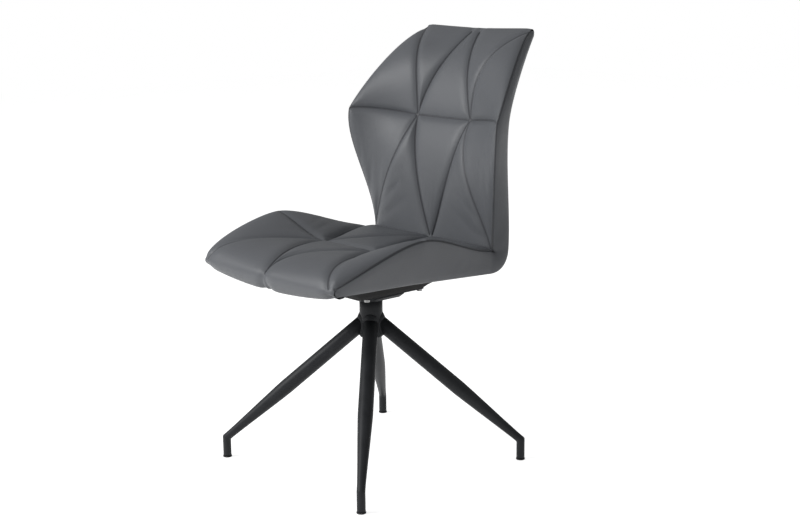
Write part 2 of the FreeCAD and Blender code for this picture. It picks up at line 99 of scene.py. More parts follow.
class Finish:
    # one material with its Principled shader, and the only place that makes nodes
    def __init__(self, name, **constants):
        self.material = bpy.data.materials.new(name)
        self.material.use_nodes = True
        self.tree = self.material.node_tree
        self.tree.nodes.clear()
        self.shader = self.tree.nodes.new("ShaderNodeBsdfPrincipled")
        output = self.tree.nodes.new("ShaderNodeOutputMaterial")
        self.tree.links.new(self.shader.outputs[0], output.inputs[0])
        for socket, value in constants.items():
            self.shader.inputs[socket.replace("_", " ")].default_value = value

    def add(self, kind, settings=None, sockets=None, out=0):
        node = self.tree.nodes.new(kind)
        for key, value in (settings or {}).items():
            if key == "stops":
                while len(node.color_ramp.elements) < len(value):
                    node.color_ramp.elements.new(0.5)
                for element, (place, colour) in zip(node.color_ramp.elements, value):
                    element.position, element.color = place, colour
            else:
                setattr(node, key, value)
        for key, value in (sockets or {}).items():
            self.feed(node.inputs[key], value)
        return Wire(self, node.outputs[out])

    def feed(self, socket, value):
        if isinstance(value, Wire):
            self.tree.links.new(value.socket, socket)
        else:
            socket.default_value = value

    def drive(self, **inputs):
        for socket, value in inputs.items():
            self.feed(self.shader.inputs[socket.replace("_", " ")], value)

    def noise(self, scale, detail=2.0, roughness=0.5):
        place = self.add("ShaderNodeTexCoord", out="Object")
        return self.add("ShaderNodeTexNoise", None, {"Vector": place, "Scale": scale, "Detail": detail,
                                                     "Roughness": roughness})

    def cells(self, scale):
        place = self.add("ShaderNodeTexCoord", out="Object")
        return self.add("ShaderNodeTexVoronoi", {"feature": "DISTANCE_TO_EDGE"},
                        {"Vector": place, "Scale": scale}, out="Distance")

    def between(self, value, low, high):
        return self.add("ShaderNodeMapRange", None, {"Value": value, "From Min": low, "From Max": high})

    def tint(self, share, dark, light):
        return self.add("ShaderNodeMix", {"data_type": "RGBA"}, {"Factor": share, 6: dark, 7: light}, out=2)

    def bump(self, height, distance, strength=1.0, under=None):
        sockets = {"Height": height, "Distance": distance, "Strength": strength}
        if under is not None:
            sockets["Normal"] = under
        return self.add("ShaderNodeBump", None, sockets)


def grey(level):
    return (level, level, level, 1.0)


def lighter(colour, share):
    return tuple(share * c for c in colour[:3]) + (1.0,)


# colours are linear; sizes inside a finish are metres, scales are per metre
leatherLook = {
    "tone": (0.119, 0.125, 0.136, 1.0),
    # painted shade: the darker tone laid along the seams, standing in for the shade in their grooves
    "seamShade": (0.048, 0.050, 0.055, 1.0),
    "grainScale": 1100.0,
    "creaseScale": 210.0,
    "grainHeight": 0.00010,
    "creaseHeight": 0.00025,
    "seamHeight": 0.0011,
    "seamWidth": 0.0030,
    "roughLow": 0.38,
    "roughHigh": 0.50,
    "shine": 0.36,
    "freshAndWorn": (0.93, 1.12),       # how much darker and lighter the tone gets in patches
}
metalLook = {"tone": (0.0240, 0.0255, 0.0280, 1.0), "shine": 0.17, "rough": 0.42, "speck": 1500.0,
             "speckHeight": 0.00006, "light": 1.35}
zincLook = {"dark": 0.2, "light": 0.38, "rough": 0.3, "clouds": 160.0}
plasticLook = {"light": 1.3, "speck": 900.0, "speckHeight": 0.00005}
feltLook = {"dark": 0.0025, "light": 0.009, "fibres": 700.0, "fibreHeight": 0.0004}
woodLook = {"dark": (0.42, 0.27, 0.14, 1), "light": (0.66, 0.48, 0.29, 1), "rings": 40.0}
threadLook = {"dark": 0.14, "light": 0.24, "twist": 1800.0}


def makeLeather(name, look):
    finish = Finish(name, IOR=1.48, Specular_IOR_Level=look["shine"])
    seam = finish.add("ShaderNodeAttribute", {"attribute_name": "seam"}, out="Fac")
    nearSeam = finish.between(seam, look["seamWidth"], 0.0)
    pores = finish.between(finish.cells(look["grainScale"]), 0.0, 0.35)
    wrinkles = finish.noise(look["creaseScale"], 4.0, 0.6)
    patches = finish.noise(7.0, 3.0)
    worn = finish.between(patches, 0.35, 0.68)
    dark, light = (lighter(look["tone"], share) for share in look["freshAndWorn"])
    shade = finish.tint(worn * 0.35 + pores * 0.15, dark, light)
    # painted shade: the colour darkens towards each seam, where the groove would be in shade
    colour = finish.tint(nearSeam * 0.75, shade, look["seamShade"])
    rough = look["roughLow"] + (look["roughHigh"] - look["roughLow"]) * finish.noise(24.0, 3.0)
    grain = finish.bump(pores, look["grainHeight"], 0.6)
    folds = finish.bump(wrinkles, look["creaseHeight"], 0.5, grain)
    groove = finish.bump(nearSeam * -1.0, look["seamHeight"], 1.0, folds)
    finish.drive(Base_Color=colour, Roughness=rough, Normal=groove)
    return finish.material


def makeCoat(name, look):
    finish = Finish(name, IOR=1.5, Specular_IOR_Level=look["shine"])
    speckle = finish.noise(look["speck"], 2.0)
    cloud = finish.noise(30.0, 2.0)
    colour = finish.tint(finish.between(cloud, 0.3, 0.7), look["tone"], lighter(look["tone"], look["light"]))
    finish.drive(Base_Color=colour, Roughness=look["rough"] + 0.08 * cloud,
                 Normal=finish.bump(speckle, look["speckHeight"], 0.7))
    return finish.material


def makeZinc(name, look):
    finish = Finish(name, Metallic=1.0)
    cloud = finish.noise(look["clouds"], 3.0)
    finish.drive(Base_Color=finish.tint(cloud, grey(look["dark"]), grey(look["light"])),
                 Roughness=look["rough"] + 0.2 * cloud)
    return finish.material


def makePlastic(name, look, level, rough):
    finish = Finish(name)
    fine = finish.noise(look["speck"], 2.0)
    finish.drive(Base_Color=finish.tint(finish.noise(60.0), grey(level), grey(level * look["light"])),
                 Roughness=rough + 0.1 * fine, Normal=finish.bump(fine, look["speckHeight"], 0.6))
    return finish.material


def makeFelt(name, look):
    finish = Finish(name, Roughness=0.95)
    fibres = finish.noise(look["fibres"], 5.0, 0.7)
    finish.drive(Base_Color=finish.tint(fibres, grey(look["dark"]), grey(look["light"])),
                 Normal=finish.bump(fibres, look["fibreHeight"], 0.8))
    return finish.material


def makeWood(name, look):
    finish = Finish(name, Roughness=0.6)
    finish.drive(Base_Color=finish.tint(finish.noise(look["rings"], 4.0), look["dark"], look["light"]))
    return finish.material


def makeThread(name, look):
    finish = Finish(name, Roughness=0.55)
    finish.drive(Base_Color=finish.tint(finish.noise(look["twist"], 1.0), grey(look["dark"]), grey(look["light"])))
    return finish.material


finishes = {
    "leather": makeLeather("greyFauxLeather", leatherLook),
    "coat": makeCoat("blackPowderCoat", metalLook),
    "zinc": makeZinc("zincPlate", zincLook),
    "plastic": makePlastic("blackPlastic", plasticLook, 0.012, 0.5),
    "nylon": makePlastic("darkNylon", plasticLook, 0.02, 0.4),
    "felt": makeFelt("blackFelt", feltLook),
    "wood": makeWood("mouldedPlywood", woodLook),
    "thread": makeThread("greyThread", threadLook),
}
nodeFinishes = {
    "coat": ["leg_front_left", "leg_front_right", "leg_rear_left", "leg_rear_right", "column", "swivel_pan",
             "swivel_plate"],
    "plastic": ["glides", "column_cap"],
    "nylon": ["swivel_bearing"],
    "zinc": ["pivot_bolt", "pivot_nut", "seat_bolts", "threaded_inserts", "strap_left", "strap_right"],
    "wood": ["seat_shell", "back_shell"],
    "felt": ["dust_cover"],
}


for nodeLook, nodeNames in nodeFinishes.items():
    for paintedNode in nodeNames:
        nodes[paintedNode].data.materials.clear()
        nodes[paintedNode].data.materials.append(finishes[nodeLook])
print("stage: finishes")


# curves are drawn in millimetres and return points in metres
def bezier(points, share):
    share = np.asarray(share, float)[..., None]
    a, b, c, d = (np.array(p, float) * mm for p in points)
    rest = 1 - share
    return a * rest ** 3 + 3 * b * share * rest ** 2 + 3 * c * share ** 2 * rest + d * share ** 3


def curve(*points):
    return lambda share: bezier(points, share)


def straight(a, b):
    first, last = np.array(a, float) * mm, np.array(b, float) * mm
    return lambda share: first + (last - first) * np.asarray(share, float)[..., None]


def joined(first, second, share):
    # two paths one after the other, the first up to a share of the way
    def path(t):
        t = np.atleast_1d(np.asarray(t, float))
        early = first(np.clip(t / share, 0, 1))
        late = second(np.clip((t - share) / (1 - share), 0, 1))
        return np.where((t <= share)[:, None], early, late)
    return path


mergeWithin = 0.02                      # points closer than this are one point, millimetres
pinWithin = 0.6                         # points this near a seam don't move in the cloth simulation


def toSide(side):
    # turns right-hand points into those of a side: 1 is right, -1 is left
    return np.array([side, 1.0, 1.0])


mirror = toSide(-1)


def onSide(path, side):
    return lambda share: path(share) * toSide(side)


def backwards(path):
    return lambda share: path(1 - np.asarray(share, float))


def evenly(path, count):
    return path(np.arange(count + 1) / count).reshape(-1, 3)


def chain(*lines):
    return np.concatenate([lines[0]] + [line[1:] for line in lines[1:]])


class Sheet:
    # points and faces of one piece of upholstery, merged where panels meet
    def __init__(self):
        self.points, self.faces, self.found = [], [], {}

    def point(self, place):
        key = tuple(np.round(place / (mergeWithin * mm)).astype(int))
        if key not in self.found:
            self.found[key] = len(self.points)
            self.points.append(np.array(place, float))
        return self.found[key]

    def face(self, corners):
        ring = [c for i, c in enumerate(corners) if c != corners[i - 1]]
        if len(set(ring)) > 2:
            self.faces.append(ring)

    def turned(self, corners, flip):
        self.face(corners[::-1] if flip else corners)

    def rows(self, lines, flip=False):
        # lines of points with the same count, or each one longer than the last by one point
        named = [[self.point(p) for p in line] for line in lines]
        for a, b in zip(named, named[1:]):
            if len(a) == len(b):
                for i in range(len(a) - 1):
                    self.turned((a[i], a[i + 1], b[i + 1], b[i]), flip)
            else:
                for i in range(len(a)):
                    self.turned((a[i], b[i + 1], b[i]), flip)
                    if i + 1 < len(a):
                        self.turned((a[i], a[i + 1], b[i + 1]), flip)

    def between(self, first, second, flip=False):
        # triangles between two lines that may differ in number
        a, b = [self.point(p) for p in first], [self.point(p) for p in second]
        i = j = 0
        while i < len(a) - 1 or j < len(b) - 1:
            if (j + 1) / max(len(b) - 1, 0.5) <= (i + 1) / max(len(a) - 1, 0.5):
                self.turned((a[i], b[j + 1], b[j]), flip)
                j += 1
            else:
                self.turned((a[i], a[i + 1], b[j]), flip)
                i += 1

    def mesh(self, name, outward=None):
        # a closed form needs no hint; an open sheet says which way its outside looks
        data = bpy.data.meshes.new(name)
        data.from_pydata([tuple(p) for p in self.points], [], self.faces)
        shape = bmesh.new()
        shape.from_mesh(data)
        bmesh.ops.recalc_face_normals(shape, faces=shape.faces)
        if outward is not None:
            looks = sum((face.normal * face.calc_area() for face in shape.faces), Vector((0, 0, 0)))
            if looks.dot(Vector(outward)) < 0:
                bmesh.ops.reverse_faces(shape, faces=shape.faces)
        shape.to_mesh(data)
        shape.free()
        data.update()
        return data


def pointedPanel(first, second, outer, count):
    # a panel that starts at a point: two seams leave it, and the outer edge joins their far ends
    lines = []
    corner = (outer(0.0).reshape(3), outer(1.0).reshape(3))
    for k in range(count + 1):
        u = k / count
        v = np.arange(k + 1) / max(k, 1)
        w = v[:, None]
        edge = outer(v) - ((1 - w) * corner[0] + w * corner[1])
        lines.append((1 - w) * first(u) + w * second(u) + u * edge)
    return lines


def openPanel(first, second, start, end, count, columns):
    lines = []
    v = np.arange(columns + 1) / columns
    w = v[:, None]
    for k in range(count + 1):
        u = k / count
        ends = (1 - u) * (start(v) - ((1 - w) * start(0.0) + w * start(1.0)))
        ends = ends + u * (end(v) - ((1 - w) * end(0.0) + w * end(1.0)))
        lines.append((1 - w) * first(u) + w * second(u) + ends)
    return lines


def rolled(edge, outward, hem, inward, count):
    # rows that leave an edge along one direction and reach a hem along another
    lines = []
    for k in range(1, count + 1):
        t = k / count
        lines.append(edge * (1 - t) ** 3 + 3 * (edge + outward) * t * (1 - t) ** 2
                     + 3 * (hem + inward) * t ** 2 * (1 - t) + hem * t ** 3)
    return lines


def distanceTo(points, paths):
    # shortest distance from each point to any of the polylines
    best = np.full(len(points), 1.0)
    for path in paths:
        for a, b in zip(path, path[1:]):
            along = b - a
            t = np.clip((points - a) @ along / max(along @ along, 1e-12), 0, 1)
            best = np.minimum(best, np.linalg.norm(points - (a + t[:, None] * along), axis=1))
    return best


def pointsOf(data):
    flat = np.zeros(len(data.vertices) * 3)
    data.vertices.foreach_get("co", flat)
    return flat.reshape(-1, 3)


def normalsOf(data):
    flat = np.zeros(len(data.vertices) * 3)
    data.vertex_normals.foreach_get("vector", flat)
    return flat.reshape(-1, 3)


def setPoints(data, points):
    data.vertices.foreach_set("co", points.ravel())
    data.update()


def setSeam(data, values):
    layer = data.attributes.get("seam") or data.attributes.new("seam", "FLOAT", "POINT")
    layer.data.foreach_set("value", values.astype(np.float32))


def addPiece(name, data, finish, body):
    piece = bpy.data.objects.new(name, data)
    bpy.context.scene.collection.objects.link(piece)
    data.materials.append(finishes[finish])
    data.polygons.foreach_set("use_smooth", [True] * len(data.polygons))
    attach(piece, body)
    return piece


def refine(piece):
    finer = piece.modifiers.new("finer", "SUBSURF")
    finer.levels = finer.render_levels = 1


def thicken(piece, thickness):
    # a sheet gets its inside face
    solid = piece.modifiers.new("solid", "SOLIDIFY")
    solid.thickness = thickness * mm
    solid.offset = -1


clothSettings = {"pressure": 2.5, "frames": 20, "tension": 6.0, "bending": 6.0, "mass": 0.12}


def inflate(piece, pinned, cap):
    # blow the sheet up between its seams, and let no point move further than the cap
    data = piece.data
    before = pointsOf(data)
    group = piece.vertex_groups.new(name="pinned")
    group.add([int(i) for i in np.nonzero(pinned)[0]], 1.0, "REPLACE")
    cloth = piece.modifiers.new("cloth", "CLOTH")
    settings = cloth.settings
    settings.mass = clothSettings["mass"]
    settings.use_pressure = True
    settings.uniform_pressure_force = clothSettings["pressure"]
    settings.tension_stiffness = clothSettings["tension"]
    settings.compression_stiffness = clothSettings["tension"]
    settings.bending_stiffness = clothSettings["bending"]
    settings.vertex_group_mass = "pinned"
    settings.effector_weights.gravity = 0
    cloth.point_cache.frame_start, cloth.point_cache.frame_end = 1, clothSettings["frames"]
    for number in range(1, clothSettings["frames"] + 1):
        bpy.context.scene.frame_set(number)
    evaluated = piece.evaluated_get(bpy.context.evaluated_depsgraph_get())
    after = pointsOf(evaluated.data)
    piece.modifiers.remove(cloth)
    piece.vertex_groups.clear()
    bpy.context.scene.frame_set(1)
    move = after - before
    length = np.linalg.norm(move, axis=1)
    print("   cloth moved at most", round(float(length.max()) * 1000, 1), "mm, mean",
          round(float(length.mean()) * 1000, 1))
    limit = cap * mm
    scale = limit * np.tanh(length / limit) / np.maximum(length, 1e-9)
    setPoints(data, before + move * scale[:, None])


def shoulders(data, distance, soft, height, width):
    # padding stands up steeply beside each seam, then levels off
    rise = height * mm * (1 - np.exp(-(distance / (width * mm)) ** 1.3)) * soft
    setPoints(data, pointsOf(data) + normalsOf(data) * rise[:, None])


print("stage: tools")


# Millimetres, right-hand side. Each seam is a cubic curve: its two handles, then its far end.
seatQuilt = {
    "cross": (80, -53, 461),
    "tip": (232, -60, 508),
    "lowCorner": (193, -266, 441),
    "bandCorner": (207, -262, 441),
    "lowMiddle": (0, -266, 441),
    "highCorner": (186, 163, 450),
    "highMiddle": (0, 168, 449),
    "toTip": ((128, -56, 461), (179, -54, 495)),
    "toLowCorner": ((130, -130, 471), (164, -250, 494)),
    "toLowMiddle": ((63, -132, 469), (-3, -222, 486)),
    "toHighCorner": ((116, 16, 452), (158, 85, 465)),
    "toHighMiddle": ((54, 21, 460), (28, 95, 460)),
    "lowEdge": ((228, -120, 506), (235, -212, 470)),
    "highEdge": ((224, 5, 505), (203, 86, 460)),
    "rows": 46,
    "middleColumns": 34,
    "puff": 5.0,
    "shoulder": 6.0,
    "shoulderWidth": 9.0,
}
backQuilt = {
    "cross": (80, 210, 702),
    "tip": (226, 137, 712),
    "lowCorner": (181, 171, 445),
    "bandCorner": (181, 171, 445),
    "lowMiddle": (4, 172, 456),
    "highCorner": (154, 306, 880),
    "highMiddle": (12, 305, 875),
    "toTip": ((141, 210, 707), (205, 160, 717)),
    "toLowCorner": ((96, 129, 613), (155, 167, 532)),
    "toLowMiddle": ((56, 166, 626), (38, 173, 535)),
    "toHighCorner": ((85, 211, 798), (106, 221, 845)),
    "toHighMiddle": ((57, 218, 776), (30, 246, 832)),
    "lowEdge": ((232, 124, 640), (184, 174, 540)),
    "highEdge": ((217, 177, 772), (181, 252, 861)),
    "rows": 50,
    "middleColumns": 34,
    "puff": 3.5,
    "shoulder": 5.6,
    "shoulderWidth": 7.5,
}


def seamCurves(quilt):
    # the curves of the right-hand side by name
    cross = quilt["cross"]
    ends = {"toTip": "tip", "toLowCorner": "lowCorner", "toLowMiddle": "lowMiddle",
            "toHighCorner": "highCorner", "toHighMiddle": "highMiddle"}
    curves = {name: curve(cross, *quilt[name], quilt[end]) for name, end in ends.items()}
    curves["lowEdge"] = curve(quilt["tip"], *quilt["lowEdge"], quilt["bandCorner"])
    curves["highEdge"] = curve(quilt["tip"], *quilt["highEdge"], quilt["highCorner"])
    return curves


def lowOuter(quilt, curves):
    # the edge of the lower side panel, with the short piece between the two seams at the corner
    if quilt["bandCorner"] == quilt["lowCorner"]:
        return curves["lowEdge"]
    short = straight(quilt["bandCorner"], quilt["lowCorner"])
    return joined(curves["lowEdge"], short, (quilt["rows"] - 3) / quilt["rows"])


def quiltedFace(quilt):
    sheet = Sheet()
    curves = seamCurves(quilt)
    count = quilt["rows"]
    lowLine = straight(quilt["lowCorner"], quilt["lowMiddle"])
    highLine = straight(quilt["highMiddle"], quilt["highCorner"])
    outer = lowOuter(quilt, curves)
    for side in (1, -1):
        c = {name: onSide(path, side) for name, path in curves.items()}
        flip = side < 0
        sheet.rows(pointedPanel(c["toTip"], c["toLowCorner"], onSide(outer, side), count), flip)
        sheet.rows(pointedPanel(c["toLowCorner"], c["toLowMiddle"], onSide(lowLine, side), count), flip)
        sheet.rows(pointedPanel(c["toHighCorner"], c["toTip"], backwards(c["highEdge"]), count), flip)
        sheet.rows(pointedPanel(c["toHighMiddle"], c["toHighCorner"], onSide(highLine, side), count), flip)
    left = {name: onSide(path, -1) for name, path in curves.items()}
    cross = np.array(quilt["cross"])
    for name, end, flip in (("toLowMiddle", "lowMiddle", True), ("toHighMiddle", "highMiddle", False)):
        far = np.array(quilt[end])
        lines = openPanel(curves[name], left[name], straight(cross, cross * mirror),
                          straight(far, far * mirror), count, quilt["middleColumns"])
        sheet.rows(lines, flip)
    return sheet


def quiltSeams(quilt):
    # polylines of every sewn channel and of the seams with the side bands
    share = np.linspace(0, 1, 41)
    paths = [onSide(path, side)(share) for path in seamCurves(quilt).values() for side in (1, -1)]
    cross = np.array(quilt["cross"]) * mm
    paths.append(np.array([cross, cross * mirror]))
    return paths


def edgeAcross(quilt, corner, middle):
    # a cushion's front, top or bottom edge from the right corner to the left one
    half = evenly(straight(quilt[corner], quilt[middle]), quilt["rows"])
    lines = [half, half[::-1] * mirror]
    if quilt[middle][0] > 0:
        far = np.array(quilt[middle])
        lines.insert(1, evenly(straight(far, far * mirror), quilt["middleColumns"]))
    return chain(*lines)


def finishCushion(piece, firmFrom, seams, quilt):
    data = piece.data
    distance = distanceTo(pointsOf(data), seams)
    soft = np.ones(len(distance))
    soft[firmFrom:] = 0
    inflate(piece, (distance < pinWithin * mm) | (soft < 0.5), quilt["puff"])
    shoulders(data, distance, soft, quilt["shoulder"], quilt["shoulderWidth"])
    setSeam(data, distance)
    refine(piece)


print("stage: quilting tools")


# the seat cushion: its front roll, hems and hidden walls, in millimetres
seatForm = {
    "hemCorner": (203, -256, 423.5),    # where the band's seam meets the lower edge
    "hemSeam": (194, -259, 426),        # the same for the corner seam
    "hemMiddle": (0, -262, 412),
    "splay": 8.5,                       # half the gap between the two middle seams at the lower edge
    "hemSide": (188, -60, 413),
    "hemRear": (186, 165, 401),
    "middleFan": 4,
    "rollRows": 8,
    "underReach": (0, 26, 3),
    "underRows": 5,
    "tuckReach": (0, 14, -30),
    "tuckRows": 6,
    "wallInset": 3.0,
    "wallRows": 3,
    "liningColumns": 8,
    "fill": 0.85,
}


def bowedHem(form, count):
    # right half of the front's lower edge: lower in the middle than at the corner
    x = np.linspace(form["hemSeam"][0], form["splay"], count + 1)
    share = (x / form["hemSeam"][0]) ** 2
    low, high = np.array(form["hemMiddle"]), np.array(form["hemSeam"])
    y = low[1] + (high[1] - low[1]) * share
    z = low[2] + (high[2] - low[2]) * share
    return np.stack([x, y, z], axis=1) * mm


def seatFront(quilt, form):
    # the front's upper edge and its lower edge, column by column from right to left
    corner = evenly(straight(quilt["bandCorner"], quilt["lowCorner"]), 3)
    half = chain(corner, evenly(straight(quilt["lowCorner"], quilt["lowMiddle"]), quilt["rows"]))
    hemHalf = chain(evenly(straight(form["hemCorner"], form["hemSeam"]), 3), bowedHem(form, quilt["rows"]))
    middle = np.array([half[-1]] * (form["middleFan"] - 1))
    hemEnd = hemHalf[-1]
    fan = np.linspace(hemEnd, hemEnd * mirror, form["middleFan"] + 1)[1:-1]
    upper = np.concatenate([half, middle, half[::-1] * mirror])
    lower = np.concatenate([hemHalf, fan, hemHalf[::-1] * mirror])
    return upper, lower


def seatSides(quilt, form):
    # the seam with the right-hand band from front to rear, and the foot of the wall inside the band
    curves = seamCurves(quilt)
    count = quilt["rows"]
    seamLine = chain(evenly(backwards(curves["lowEdge"]), count - 3), evenly(curves["highEdge"], count))
    foot = chain(evenly(straight(form["hemCorner"], form["hemSide"]), count - 3),
                 evenly(straight(form["hemSide"], form["hemRear"]), count))
    inset = np.array((-form["wallInset"], 0, 4)) * mm
    foot = foot + inset
    foot[0] = np.array(form["hemCorner"]) * mm + np.array(form["underReach"]) * mm
    return seamLine, foot


def makeSeat(quilt, form):
    sheet = quiltedFace(quilt)
    upper, lower = seatFront(quilt, form)
    forward, back = np.array((0, -5, -9)) * mm, np.array((0, -6, 8)) * mm
    lines = [upper] + rolled(upper, forward, lower, back, form["rollRows"])
    rollLines = list(lines)
    under = lower + np.array(form["underReach"]) * mm
    lines += rolled(lower, np.array((0, 5, -5)) * mm, under, np.array((0, -7, 1)) * mm, form["underRows"])
    sheet.rows(lines, False)
    rear = edgeAcross(quilt, "highCorner", "highMiddle")
    tuck = rear + np.array(form["tuckReach"]) * mm
    lines = [rear] + rolled(rear, np.array((0, 9, -1)) * mm, tuck, np.array((0, 0, 12)) * mm, form["tuckRows"])
    sheet.rows(lines, True)
    firmFrom = len(sheet.points)
    seamLine, foot = seatSides(quilt, form)
    for side in (1, -1):
        turn = toSide(side)
        walls = [seamLine * turn + (foot - seamLine) * turn * (k / form["wallRows"])
                 + np.array((-side, 0, 0)) * form["wallInset"] * mm * math.sin(math.pi * k / form["wallRows"] / 2)
                 for k in range(form["wallRows"] + 1)]
        walls[-1] = foot * turn
        sheet.rows(walls, side < 0)
    columns = form["liningColumns"]
    lining = [np.linspace(p, p * mirror, columns + 1) for p in foot]
    sheet.rows(lining, False)
    sheet.between(under, lining[0], False)
    sheet.between(tuck, lining[-1], True)
    return sheet, firmFrom, rollLines


seatSheet, seatFirm, seatRollLines = makeSeat(seatQuilt, seatForm)
seatCushion = addPiece("seatCushion", seatSheet.mesh("seatCushion"), "leather", "seat")
seatSeams = quiltSeams(seatQuilt)
for seamSide in (1, -1):
    flipTo = toSide(seamSide) * mm
    for seamTop, seamEnd in (("bandCorner", "hemCorner"), ("lowCorner", "hemSeam")):
        seatSeams.append(np.array([np.array(seatQuilt[seamTop]) * flipTo, np.array(seatForm[seamEnd]) * flipTo]))
    splayEnd = np.array((seatForm["splay"],) + seatForm["hemMiddle"][1:]) * flipTo
    seatSeams.append(np.array([np.array(seatQuilt["lowMiddle"]) * flipTo, splayEnd]))
finishCushion(seatCushion, seatFirm, seatSeams, seatQuilt)
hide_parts("seat_cushion")
print("stage: seat cushion,", len(seatCushion.data.vertices), "points")


# Outer cover of the back, as rows up the back: height, half width, depth at the side, depth in the middle.
coverShape = {
    "turn": ((401, 186, 165, 170), (401, 188, 193, 200), (420, 189, 211, 221), (450, 189, 212, 222)),
    "low": ((450, 189, 212, 222), (530, 190, 216, 222), (640, 200, 188, 240), (712, 205, 195, 256)),
    "high": ((712, 205, 195, 256), (760, 203, 205, 262), (845, 165, 290, 290), (872, 152, 321, 324)),
    "rows": {"turn": 12, "low": 40, "high": 30},
    "columns": 48,
    "thickness": 2.5,
    "puff": 3.0,
    "hemDrop": 6.0,
}


def coverRow(row, columns, forward=0.0):
    height, halfWidth, side, middle = row
    hump = (4 * middle - side) / 3
    return evenly(curve((halfWidth, side - forward, height), (halfWidth / 3, hump - forward, height),
                        (-halfWidth / 3, hump - forward, height), (-halfWidth, side - forward, height)), columns)


def coverLines(part, count, columns, forward=0.0):
    a, b, c, d = (coverRow(row, columns, forward) for row in coverShape[part])
    share = np.arange(count + 1)[:, None, None] / count
    rest = 1 - share
    return a * rest ** 3 + 3 * b * share * rest ** 2 + 3 * c * share ** 2 * rest + d * share ** 3


def coverSide(part, count):
    # the cover's right-hand edge, where it is sewn to the side band
    return evenly(curve(*[(row[1], row[2], row[0]) for row in coverShape[part]]), count)


def makeRearCover(shape):
    sheet = Sheet()
    for part in ("turn", "low", "high"):
        sheet.rows(list(coverLines(part, shape["rows"][part], shape["columns"])), True)
    top = coverRow(shape["high"][3], shape["columns"])
    inside = top + np.array((0, -4, -shape["hemDrop"])) * mm
    sheet.rows([top] + rolled(top, np.array((0, -0.5, 1.5)) * mm, inside, np.array((0, 0, 3)) * mm, 3), True)
    return sheet.mesh("rearCover", (0, 1, 0))


rearCover = addPiece("rearCover", makeRearCover(coverShape), "leather", "seat")
coverSeams = [coverSide(part, 24) * toSide(side) for part in ("turn", "low", "high") for side in (1, -1)]
coverSeams.append(coverRow(coverShape["high"][3], 24))
coverSeams.append(coverRow(coverShape["turn"][0], 24))
coverDistance = distanceTo(pointsOf(rearCover.data), coverSeams)
inflate(rearCover, coverDistance < pinWithin * mm, coverShape["puff"])
setSeam(rearCover.data, coverDistance)


thicken(rearCover, coverShape["thickness"])
refine(rearCover)
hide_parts("rear_cover")
print("stage: rear cover")


# the back cushion's roll over the top and its tuck behind the seat
backForm = {
    "topRoll": (0, 5, 7),
    "topRows": 6,
    # the seam with the rear cover, from right to left
    "topSeam": ((152, 320.5, 873), (50.7, 324.5, 873), (-50.7, 324.5, 873), (-152, 320.5, 873)),
    "tuckReach": (0, 20, -26),
    "tuckRows": 6,
    "inset": 4.5,
    "wallInset": 3.0,
    "wallRows": 3,
    "liningColumns": 8,
    "fill": 0.85,
}


def makeBack(quilt, form):
    sheet = quiltedFace(quilt)
    top = edgeAcross(quilt, "highCorner", "highMiddle")
    share = np.linspace(0, 1, len(top))
    seamTop = curve(*form["topSeam"])(share)
    roll = np.array(form["topRoll"]) * mm
    lines = [top] + rolled(top, roll, seamTop, np.array((0, -1, 9)) * mm, form["topRows"])
    topLines = list(lines)
    sheet.rows(lines, True)
    low = edgeAcross(quilt, "lowCorner", "lowMiddle")
    tuck = low + np.array(form["tuckReach"]) * mm
    lines = [low] + rolled(low, np.array((0, 1, -9)) * mm, tuck, np.array((0, -8, 2)) * mm, form["tuckRows"])
    sheet.rows(lines, False)
    firmFrom = len(sheet.points)
    count, columns = quilt["rows"], form["liningColumns"]
    curves = seamCurves(quilt)
    seamLine = chain(evenly(backwards(curves["lowEdge"]), count), evenly(curves["highEdge"], count))
    lining = np.concatenate([coverLines("low", count, columns, form["inset"]),
                             coverLines("high", count, columns, form["inset"])[1:]])
    lining[:, :, 0] *= 1 - form["wallInset"] / 200
    lining[-1, :, 2] -= 4 * mm
    foot = lining[:, 0, :]
    for side in (1, -1):
        turn = toSide(side)
        walls = [(seamLine + (foot - seamLine) * (k / form["wallRows"])
                  - np.array((form["wallInset"], 0, 0)) * mm * math.sin(math.pi * k / form["wallRows"])) * turn
                 for k in range(form["wallRows"] + 1)]
        walls[0], walls[-1] = seamLine * turn, foot * turn
        sheet.rows(walls, side < 0)
    sheet.rows(list(lining), True)
    sheet.between(seamTop, lining[-1], True)
    sheet.between(tuck, lining[0], False)
    return sheet, firmFrom, topLines


backSheet, backFirm, backTopLines = makeBack(backQuilt, backForm)
backCushion = addPiece("backCushion", backSheet.mesh("backCushion"), "leather", "seat")
backSeams = quiltSeams(backQuilt)
backSeams.append(backTopLines[-1][::4])
finishCushion(backCushion, backFirm, backSeams, backQuilt)
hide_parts("back_cushion")
print("stage: back cushion,", len(backCushion.data.vertices), "points")


# the bands that close both sides, from the seat's front to the back's top
bandShape = {"rows": 16, "thickness": 2.5, "puff": 5.0, "cornerColumns": 12, "topColumns": 14, "shoulder": 3.0,
             "shoulderWidth": 8.0}


def bandEdges():
    # the two long edges of the right-hand band, from the seat's front to the back's top
    seat, back = seamCurves(seatQuilt), seamCurves(backQuilt)
    seatCount, backCount = seatQuilt["rows"], backQuilt["rows"]
    corner = bandShape["cornerColumns"]
    inner = chain(np.array([line[0] for line in seatRollLines])[::-1],
                  evenly(backwards(seat["lowEdge"]), seatCount), evenly(seat["highEdge"], seatCount),
                  evenly(straight(seatQuilt["highCorner"], backQuilt["lowCorner"]), corner),
                  evenly(backwards(back["lowEdge"]), backCount), evenly(back["highEdge"], backCount))
    start = evenly(straight(seatForm["hemCorner"], seatForm["hemSide"]), seatCount + seatForm["rollRows"])
    outer = chain(start, evenly(straight(seatForm["hemSide"], seatForm["hemRear"]), seatCount),
                  coverSide("turn", corner), coverSide("low", backCount), coverSide("high", backCount))
    return inner, outer


bandInner, bandOuter = bandEdges()


